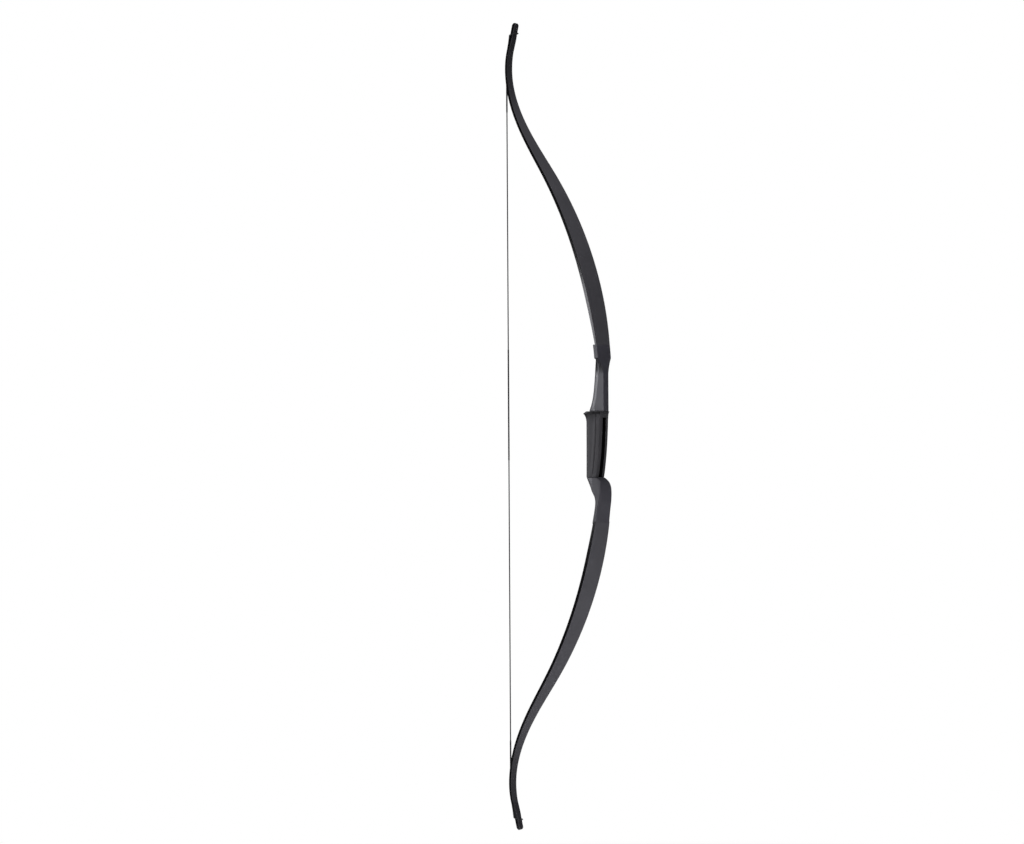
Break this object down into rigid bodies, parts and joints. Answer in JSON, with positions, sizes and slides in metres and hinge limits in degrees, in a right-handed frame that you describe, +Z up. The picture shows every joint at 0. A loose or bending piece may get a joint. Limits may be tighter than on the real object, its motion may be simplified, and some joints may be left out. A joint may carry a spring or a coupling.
{
  "type": "recurve bow",
  "caption": "Strung recurve bow with a sight window cut from both sides, faceted grip with arrow shelf, wide flat limbs, knobbed recurved tips and served string; it bends to full draw.",
  "frame": {"origin": "pivot point of the hand on the belly of the grip, in the bow's plane of symmetry", "axes": "+Z up the bow to the upper tip, +X forwards from the archer to the target, +Y across the limbs, to the archer's left"},
  "size_m": [0.2269, 0.0476, 1.4854],
  "materials": {
    "riser_moulding": "satin moulded plastic, dark grey",
    "grip_moulding": "finely textured moulded plastic, dark grey",
    "limb_core": "polished black edge",
    "limb_face": "matte dark grey glass laminate",
    "tip_overlay": "matte black reinforcement",
    "string_strands": "waxed polyester strands, black",
    "serving_thread": "tightly wound nylon thread, black"
  },
  "bodies": {
    "riser": {"riser": "riser_moulding", "grip": "grip_moulding", "upper_limb_butt": "limb_core", "lower_limb_butt": "limb_core"},
    "upper_limb": {"upper_limb_core": "limb_core", "upper_back_laminate": "limb_face", "upper_belly_laminate": "limb_face", "upper_tip_overlay": "tip_overlay", "upper_loop_bight": "serving_thread"},
    "lower_limb": {"lower_limb_core": "limb_core", "lower_back_laminate": "limb_face", "lower_belly_laminate": "limb_face", "lower_tip_overlay": "tip_overlay", "lower_loop_bight": "serving_thread"},
    "upper_loop": {"upper_loop_legs": "serving_thread"},
    "lower_loop": {"lower_loop_legs": "serving_thread"},
    "upper_string": {"upper_string": "string_strands", "upper_end_serving": "serving_thread", "upper_centre_serving": "serving_thread", "nocking_serving": "serving_thread"},
    "lower_string": {"lower_string": "string_strands", "lower_end_serving": "serving_thread", "lower_centre_serving": "serving_thread"}
  },
  "joints": [
    {"name": "upper_limb_flex", "type": "hinge", "parent": "riser", "child": "upper_limb", "pos_m": [0.01542, 0, 0.2383], "axis": [0, -1, 0], "range_deg": [0, 19.71], "stiffness_Nm_per_rad": 66, "springref_deg": -22.92},
    {"name": "lower_limb_flex", "type": "hinge", "parent": "riser", "child": "lower_limb", "pos_m": [0.01542, 0, -0.2383], "axis": [0, 1, 0], "range_deg": [0, 18.62], "stiffness_Nm_per_rad": 66, "springref_deg": -22.92},
    {"name": "upper_loop_swing", "type": "hinge", "parent": "upper_limb", "child": "upper_loop", "pos_m": [-0.17347, 0, 0.71669], "axis": [0, 1, 0], "range_deg": [0, 36.36]},
    {"name": "lower_loop_swing", "type": "hinge", "parent": "lower_limb", "child": "lower_loop", "pos_m": [-0.17347, 0, -0.71669], "axis": [0, -1, 0], "range_deg": [0, 32.58]},
    {"name": "upper_string_swing", "type": "hinge", "parent": "upper_loop", "child": "upper_string", "pos_m": [-0.18302, 0, 0.67749], "axis": [0, 1, 0], "range_deg": [0, 13.72], "deforming": ["nocking_serving"]},
    {"name": "lower_string_swing", "type": "hinge", "parent": "lower_loop", "child": "lower_string", "pos_m": [-0.18302, 0, -0.67749], "axis": [0, -1, 0], "range_deg": [0, 13.72]}
  ],
  "couplings": [
    {"joint": "lower_limb_flex", "follows": "upper_limb_flex", "ratio": 0.94279},
    {"joint": "upper_loop_swing", "follows": "upper_limb_flex", "ratio": 1.8429},
    {"joint": "lower_loop_swing", "follows": "upper_limb_flex", "ratio": 1.6509},
    {"joint": "upper_string_swing", "follows": "upper_limb_flex", "ratio": 0.69446},
    {"joint": "lower_string_swing", "follows": "upper_limb_flex", "ratio": 0.69446}
  ]
}
